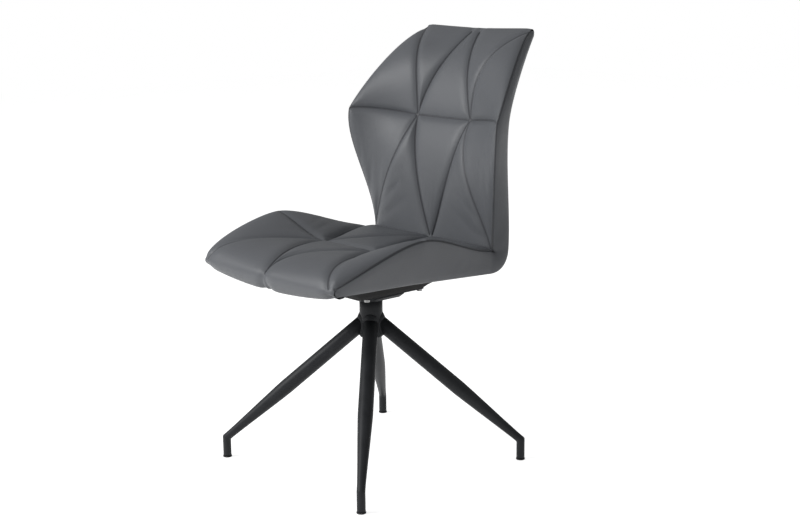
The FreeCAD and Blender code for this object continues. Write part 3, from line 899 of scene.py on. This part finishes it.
def makeBand(side, name, node):
    turn = toSide(side)
    inner, outer = bandInner * turn, bandOuter * turn
    count = bandShape["rows"]
    lines = [inner + (outer - inner) * (k / count) for k in range(count + 1)]
    columns = bandShape["topColumns"]
    near = np.clip(np.arange(len(inner)) - (len(inner) - 1 - columns), 0, None) / columns
    end = np.array([line[0] for line in backTopLines]) * turn
    for k, line in enumerate(lines):
        share = k / count
        place = np.array([np.interp(share, np.linspace(0, 1, len(end)), end[:, i]) for i in range(3)])
        line += (near ** 2)[:, None] * (place - (end[0] + (end[-1] - end[0]) * share))
    sheet = Sheet()
    sheet.rows(lines, side > 0)
    piece = addPiece(name, sheet.mesh(name, (side, 0, 0)), "leather", "seat")
    distance = distanceTo(pointsOf(piece.data), [inner[::2], outer[::2]])
    inflate(piece, distance < pinWithin * mm, bandShape["puff"])
    shoulders(piece.data, distance, 1.0, bandShape["shoulder"], bandShape["shoulderWidth"])
    setSeam(piece.data, distance)
    thicken(piece, bandShape["thickness"])
    refine(piece)
    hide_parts(node)


makeBand(1, "sideBandRight", "side_band_right")
makeBand(-1, "sideBandLeft", "side_band_left")
print("stage: side bands")


# topstitching beside the side seams
stitchShape = {
    "length": 3.0,
    "pitch": 4.4,
    "radius": 0.36,
    "beside": 3.2,
    "sides": 6,
    # along the stitch: share of its length, share of its radius, rise
    "form": ((0, 0.15, -0.4), (0.12, 0.8, 0.25), (0.5, 1.0, 0.55), (0.88, 0.8, 0.25), (1, 0.15, -0.4)),
}


def resampled(line, step):
    # points at even distances along a polyline
    gaps = np.linalg.norm(np.diff(line, axis=0), axis=1)
    at = np.concatenate([[0], np.cumsum(gaps)])
    places = np.arange(0, at[-1], step)
    return np.stack([np.interp(places, at, line[:, i]) for i in range(3)], axis=1)


def besideSeam(piece, line, towards):
    # points on the cushion a little way from a seam, with the surface's normals
    spots, normals = [], []
    for place in line:
        inward = towards - place
        inward /= np.linalg.norm(inward)
        near = Vector(place + inward * stitchShape["beside"] * mm)
        spot, normal = piece.closest_point_on_mesh(near)[1:3]
        spots.append(np.array(spot))
        normals.append(np.array(normal))
    return np.array(spots), np.array(normals)


def addStitches(sheet, piece, line, towards):
    shape = stitchShape
    fine = resampled(line, shape["pitch"] * mm / 4)
    spots, normals = besideSeam(piece, fine, towards)
    for k in range(1, len(spots) - 4, 4):
        start, end, normal = spots[k], spots[k + 3], normals[k + 1]
        along = end - start
        length = np.linalg.norm(along)
        if length < 1 * mm:
            continue
        along /= length
        side = np.cross(along, normal)
        side /= np.linalg.norm(side)
        rise = np.cross(side, along)
        turn = np.arange(shape["sides"] + 1) / shape["sides"] * 2 * math.pi
        circle = np.cos(turn)[:, None] * side + np.sin(turn)[:, None] * rise
        rings = []
        for share, wide, lift in shape["form"]:
            centre = start + along * shape["length"] * mm * share + rise * shape["radius"] * mm * lift
            rings.append(centre + shape["radius"] * mm * wide * circle)
        sheet.rows(rings, False)


def makeStitches():
    sheet = Sheet()
    for side in (1, -1):
        for piece, quilt in ((backCushion, backQuilt), (seatCushion, seatQuilt)):
            towards = np.array(quilt["cross"]) * toSide(side) * mm
            for edge in ("lowEdge", "highEdge"):
                addStitches(sheet, piece, evenly(seamCurves(quilt)[edge], 60) * toSide(side), towards)
    stitches = addPiece("topstitching", sheet.mesh("topstitching"), "thread", "seat")


makeStitches()
print("stage: topstitching")


# the seat's shell and the dust cover under it
underside = {
    "flatHalf": 82.0,
    "flatFront": -100.0,
    "flatRear": 84.0,
    "flatHeight": 370.6,
    "cornerRound": 18.0,
    "rimInset": 9.0,
    "rimLift": 2.5,
    "rise": 2.6,
    "rows": 14,
    "columns": 160,
    "felt": 1.0,
    "plywood": 9.0,
    "gap": 0.3,
    "rearEdge": ((124, 168, 401), (62, 170, 401), (0, 170, 401)),
}


def roundedRect(halfX, front, rear, radius, angles):
    # a point of a rounded rectangle in each direction from its middle
    middle = (front + rear) / 2
    halfY = (rear - front) / 2
    places = []
    for angle in angles:
        dx, dy = math.cos(angle), math.sin(angle)
        reach = 1 / max(abs(dx) / halfX, abs(dy) / halfY)
        x, y = dx * reach, dy * reach
        cx, cy = halfX - radius, halfY - radius
        if abs(x) > cx and abs(y) > cy:
            ox, oy = abs(x) - cx, abs(y) - cy
            length = math.hypot(ox, oy)
            x = math.copysign(cx + ox / length * radius, x)
            y = math.copysign(cy + oy / length * radius, y)
        places.append((x, y + middle))
    return np.array(places)


def undersideRim(angles):
    # the seat's lower edge in each direction, as x, y and height
    form = seatForm
    rightHalf = np.concatenate([bowedHem(form, 40)[::-1], np.array([form["hemCorner"]]) * mm,
                                evenly(straight(form["hemCorner"], form["hemSide"]), 20)[1:],
                                evenly(straight(form["hemSide"], form["hemRear"]), 20)[1:]])
    rearHalf = evenly(curve(form["hemRear"], *underside["rearEdge"]), 20)[1:]
    right = np.concatenate([rightHalf, rearHalf])
    loop = np.concatenate([right, (right[::-1] * mirror)[1:-1]])
    middle = np.array([0.0, (underside["flatFront"] + underside["flatRear"]) / 2 * mm])
    at = np.arctan2(loop[:, 1] - middle[1], loop[:, 0])
    order = np.argsort(at)
    at, loop = at[order], loop[order]
    at = np.concatenate([at - 2 * math.pi, at, at + 2 * math.pi])
    loop = np.concatenate([loop, loop, loop])
    wrapped = (np.asarray(angles) + math.pi) % (2 * math.pi) - math.pi
    return np.stack([np.interp(wrapped, at, loop[:, i]) for i in range(3)], axis=1)


def bowl(lift, rimShare, name):
    # a dish with a flat middle whose sides rise fast, then run out to the seat's lower edge
    shape = underside
    angles = np.arange(shape["columns"]) / shape["columns"] * 2 * math.pi
    flat = roundedRect(shape["flatHalf"], shape["flatFront"], shape["flatRear"], shape["cornerRound"], angles)
    rim = undersideRim(angles)
    middle = np.array([0.0, (shape["flatFront"] + shape["flatRear"]) / 2 * mm])
    outward = rim[:, :2] - middle
    outward /= np.linalg.norm(outward, axis=1)[:, None]
    rim[:, :2] -= outward * shape["rimInset"] * mm
    rim[:, 2] += shape["rimLift"] * mm
    sheet = Sheet()
    lines = []
    low = shape["flatHeight"] * mm
    for reach in (0.25, 0.5, 0.75, 1.0):
        lines.append(np.column_stack([flat * mm * reach + middle * (1 - reach), np.full(len(flat), low)]))
    for k in range(1, shape["rows"] + 1):
        share = k / shape["rows"] * rimShare
        places = flat * mm * (1 - share) + rim[:, :2] * share
        height = low + (rim[:, 2] - low) * (1 - (1 - share) ** shape["rise"])
        lines.append(np.column_stack([places, height]))
    lines = [np.vstack([line, line[:1]]) + np.array((0, 0, lift)) * mm for line in lines]
    sheet.rows(lines, True)
    hub = np.vstack([np.mean(lines[0][:-1], axis=0)] * len(lines[0]))
    sheet.rows([hub, lines[0]], True)
    return sheet.mesh(name, (0, 0, -1))


def makeBowl(name, node, finish, lift, thickness, rimShare):
    piece = addPiece(name, bowl(lift, rimShare, name), finish, "seat")
    thicken(piece, thickness)
    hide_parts(node)


makeBowl("dustCover", "dust_cover", "felt", 0.0, underside["felt"], 1.0)
makeBowl("seatShell", "seat_shell", "wood", underside["felt"] + underside["gap"], underside["plywood"], 0.9)
print("stage: underside")


# a leg lies along +X here, and is turned to its place
legShape = {
    "footCircle": 310.0,
    "columnRadius": 24.0,
    "rootRadius": 15.5,
    "tipRadius": 8.6,
    "rootHeight": 290.0,
    "straightShare": 0.55,
    "tipLength": 12.0,
    "kneeHeight": 43.0,
    "footBottom": 3.0,
    "kneeSoftness": 1.2,
    "sides": 40,
    "weldWidth": 2.0,
    "weldTop": 5.0,                     # how much wider the weld is on top of the bar
    "weldSwell": 0.3,
    "weldRipple": 0.25,
    "ripples": 34,
    "weldColumns": 160,
}


def legFrame(shape):
    knee = np.array([shape["footCircle"], 0, shape["kneeHeight"]])
    root = np.array([shape["columnRadius"], 0, shape["rootHeight"]])
    run = knee - root
    length = np.linalg.norm(run)
    return root, knee, run / length, length


def legRadius(shape, place, length):
    # radius at a distance from the root: even at first, then tapering to the knee
    begin, end = length * shape["straightShare"], length - shape["tipLength"]
    share = min(max((place - begin) / (end - begin), 0), 1)
    eased = share * share * (3 - 2 * share) * 0.25 + share * 0.75
    return shape["rootRadius"] + (shape["tipRadius"] - shape["rootRadius"]) * eased


def ringAt(centre, along, radius, sides):
    side = np.array([0.0, 1.0, 0.0])
    inward = np.cross(side, along)
    angle = np.arange(sides + 1) / sides * 2 * math.pi
    return centre + radius * (np.cos(angle)[:, None] * inward + np.sin(angle)[:, None] * side)


def onPlane(ring, along, point, normal):
    # slide each point of a ring along the bar until it lies on a plane
    gap = (point - ring) @ normal / (along @ normal)
    return ring + gap[:, None] * along


def legLines(shape):
    root, knee, run, length = legFrame(shape)
    down = np.array([0.0, 0.0, -1.0])
    mitre = run + np.array([0, 0, -1.0])
    mitre /= np.linalg.norm(mitre)
    sides = shape["sides"]
    places = np.concatenate([np.linspace(-16, length * shape["straightShare"], 6),
                             np.linspace(length * shape["straightShare"], length - shape["tipLength"], 12)[1:]])
    lines = [ringAt(root + run * p, run, legRadius(shape, p, length), sides) for p in places]
    thin, soft = shape["tipRadius"], shape["kneeSoftness"]
    above = onPlane(ringAt(knee, run, thin, sides), run, knee - mitre * soft, mitre)
    below = onPlane(ringAt(knee, down, thin, sides), down, knee + mitre * soft, mitre)
    lines += [above, (above + below) / 2, below]
    for height in np.linspace(shape["kneeHeight"] - 14, shape["footBottom"], 5):
        lines.append(ringAt(np.array([shape["footCircle"], 0, height]), down, thin, sides))
    return lines


def weldLines(shape):
    # the fillet weld where the bar meets the column: column side, four rows of bead, bar side, root
    root, knee, run, length = legFrame(shape)
    radius = shape["columnRadius"]
    angle = np.arange(shape["weldColumns"] + 1) / shape["weldColumns"] * 2 * math.pi
    top = np.maximum(-np.cos(angle), 0)[:, None] ** 2
    width = shape["weldWidth"] + shape["weldTop"] * top
    bar = ringAt(root, run, shape["rootRadius"], shape["weldColumns"])
    flat = bar[:, :2]
    a = run[0] ** 2 + run[1] ** 2
    b = flat @ run[:2]
    c = (flat ** 2).sum(axis=1) - radius ** 2
    slide = (-b + np.sqrt(np.maximum(b * b - a * c, 0))) / a
    meet = bar + slide[:, None] * run
    around = np.stack([np.arctan2(meet[:, 1], meet[:, 0]) * radius, meet[:, 2] - shape["rootHeight"]], axis=1)
    reach = np.linalg.norm(around, axis=1)[:, None]
    wider = around * (1 + width / reach)
    theta = wider[:, 0] / radius
    onColumn = np.stack([radius * np.cos(theta), radius * np.sin(theta), wider[:, 1] + shape["rootHeight"]], axis=1)
    onBar = meet + run * width
    ripple = 1 + shape["weldRipple"] * np.sin(angle * shape["ripples"])[:, None]
    outward = (onColumn + onBar) / 2 - meet
    outward /= np.linalg.norm(outward, axis=1)[:, None]
    lines = [onColumn]
    for share in (0.2, 0.4, 0.6, 0.8):
        swell = math.sin(math.pi * share) * ripple * shape["weldSwell"]
        lines.append(onColumn * (1 - share) + onBar * share + outward * swell)
    lines += [onBar, meet - outward * 2, onColumn]
    return lines


def turnAbout(points, degrees):
    c, s = math.cos(math.radians(degrees)), math.sin(math.radians(degrees))
    return points @ np.array([[c, s, 0], [-s, c, 0], [0, 0, 1]])


def lathe(sheet, profile, sides, reach=0.0, degrees=0.0):
    # a turned form from pairs of radius and height, at a reach from the swivel's axis
    up = np.array([0.0, 0.0, 1.0])
    rings = [ringAt(np.array([reach, 0, z]), up, r, sides) for r, z in profile]
    sheet.rows([turnAbout(ring, degrees) * mm for ring in rings], False)


def makeLeg(name, node, degrees):
    sheet = Sheet()
    lines = [turnAbout(line, degrees) * mm for line in legLines(legShape)]
    sheet.rows(lines, True)
    sheet.face([sheet.point(p) for p in lines[0][:-1]])
    sheet.face([sheet.point(p) for p in lines[-1][:-1][::-1]])
    sheet.rows([turnAbout(line, degrees) * mm for line in weldLines(legShape)], True)
    leg = addPiece(name, sheet.mesh(name), "coat", "base")
    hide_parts(node)


legTurns = {"FrontRight": -45, "RearRight": 45, "RearLeft": 135, "FrontLeft": 225}
for legName, legTurn in legTurns.items():
    nodeName = "leg_" + ("front" if "Front" in legName else "rear") + ("_right" if "Right" in legName else "_left")
    makeLeg("leg" + legName, nodeName, legTurn)
print("stage: legs")


# the column with its lower cap
columnShape = {"radius": 24.0, "top": 353.0, "bottom": 266.5, "edge": 1.2, "sides": 96}


def makeColumn(shape):
    sheet = Sheet()
    radius, bottom, edge = shape["radius"], shape["bottom"], shape["edge"]
    profile = [(0.01, bottom + 0.6), (radius * 0.7, bottom + 0.4), (radius - 3.2, bottom + 0.3),
               (radius - 2.6, bottom), (radius - edge, bottom), (radius - edge * 0.3, bottom + edge * 0.3),
               (radius, bottom + edge), (radius, bottom + 30), (radius, shape["top"] - 25), (radius, shape["top"]),
               (radius - 2, shape["top"]), (radius - 2, shape["top"] - 4), (0.01, shape["top"] - 4)]
    lathe(sheet, profile, shape["sides"])
    column = addPiece("columnTube", sheet.mesh("columnTube"), "coat", "base")
    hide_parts("column", "column_cap")


makeColumn(columnShape)
print("stage: column")


# foot glides pressed into the legs' ends
glideShape = {"radius": 9.5, "height": 3.0, "edge": 0.9, "stem": 5.0, "stemRadius": 7.0, "sides": 36}


def makeGlides(shape):
    sheet = Sheet()
    radius, edge, height = shape["radius"], shape["edge"], shape["height"]
    stem, top = shape["stemRadius"], height + shape["stem"]
    profile = [(0.01, 0.25), (radius * 0.55, 0.1), (radius - 2.2, 0.0), (radius - edge, 0.0),
               (radius - edge * 0.3, edge * 0.3), (radius, edge), (radius, height - 0.5), (radius - 0.5, height),
               (stem, height), (stem, top), (0.01, top)]
    for degrees in legTurns.values():
        lathe(sheet, profile, shape["sides"], legShape["footCircle"], degrees)
    glides = addPiece("footGlides", sheet.mesh("footGlides"), "plastic", "base")
    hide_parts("glides")


makeGlides(glideShape)
print("stage: glides")


# floor, background and lamps
studio = {
    "floorTone": (0.86, 0.86, 0.86, 1.0),
    "floorReach": 8.0,
    "floorGlow": 0.72,
    "backdrop": 1.0,
    "ambient": 0.31,
    "keyPlace": (-1.5, -2.9, 2.3),
    "keyPower": 108.0,
    "keySize": 2.0,
    "fillPlace": (2.6, -1.4, 2.4),
    "fillPower": 2.0,
    "fillSize": 1.6,
    "rearPlace": (-0.6, 2.4, 2.6),
    "rearPower": 6.0,
    "rearSize": 1.6,
    "aim": (0.0, 0.0, 0.5),
}


def makeFloorFinish():
    # to the camera and in gloss the floor is near white, and keeps the chair's shadow
    finish = Finish("paleFloor", Roughness=0.8)
    finish.drive(Base_Color=studio["floorTone"])
    camera, gloss, clear = (finish.add("ShaderNodeLightPath", out="Is " + kind + " Ray")
                            for kind in ("Camera", "Glossy", "Transmission"))
    seen = camera + gloss + clear
    plain = finish.add("ShaderNodeEmission", None, {"Color": (1, 1, 1, 1), "Strength": studio["floorGlow"]})
    both = finish.add("ShaderNodeAddShader", None, {0: Wire(finish, finish.shader.outputs[0]), 1: plain})
    mix = finish.add("ShaderNodeMixShader", None, {0: seen, 1: Wire(finish, finish.shader.outputs[0]), 2: both})
    output = next(node for node in finish.tree.nodes if node.type == "OUTPUT_MATERIAL")
    finish.tree.links.new(mix.socket, output.inputs[0])
    return finish.material


def makeFloor(name):
    data = bpy.data.meshes.new(name)
    reach = studio["floorReach"]
    data.from_pydata([(-reach, -reach, 0), (reach, -reach, 0), (reach, reach, 0), (-reach, reach, 0)], [],
                     [(0, 1, 2, 3)])
    floor = bpy.data.objects.new(name, data)
    bpy.context.scene.collection.objects.link(floor)
    data.materials.append(makeFloorFinish())


def makeLamp(name, place, power, size):
    data = bpy.data.lights.new(name, "AREA")
    data.shape, data.size, data.energy = "DISK", size, power
    lamp = bpy.data.objects.new(name, data)
    bpy.context.scene.collection.objects.link(lamp)
    lamp.location = place
    lamp.rotation_euler = (Vector(studio["aim"]) - Vector(place)).to_track_quat("-Z", "Y").to_euler()


def makeWorld():
    world = bpy.data.worlds.new("studio")
    world.use_nodes = True
    bpy.context.scene.world = world
    tree = world.node_tree
    tree.nodes.clear()
    output = tree.nodes.new("ShaderNodeOutputWorld")
    rays = tree.nodes.new("ShaderNodeLightPath")
    soft, plain = tree.nodes.new("ShaderNodeBackground"), tree.nodes.new("ShaderNodeBackground")
    soft.inputs["Strength"].default_value = studio["ambient"]
    plain.inputs["Strength"].default_value = studio["backdrop"]
    for background in (soft, plain):
        background.inputs["Color"].default_value = (1, 1, 1, 1)
    mix = tree.nodes.new("ShaderNodeMixShader")
    tree.links.new(rays.outputs["Is Camera Ray"], mix.inputs[0])
    tree.links.new(soft.outputs[0], mix.inputs[1])
    tree.links.new(plain.outputs[0], mix.inputs[2])
    tree.links.new(mix.outputs[0], output.inputs[0])


makeFloor("floor")
makeWorld()
for lampName in ("key", "fill", "rear"):
    makeLamp(lampName + "Lamp", studio[lampName + "Place"], studio[lampName + "Power"], studio[lampName + "Size"])
bpy.context.scene.view_settings.view_transform = "Standard"
print("stage: studio")
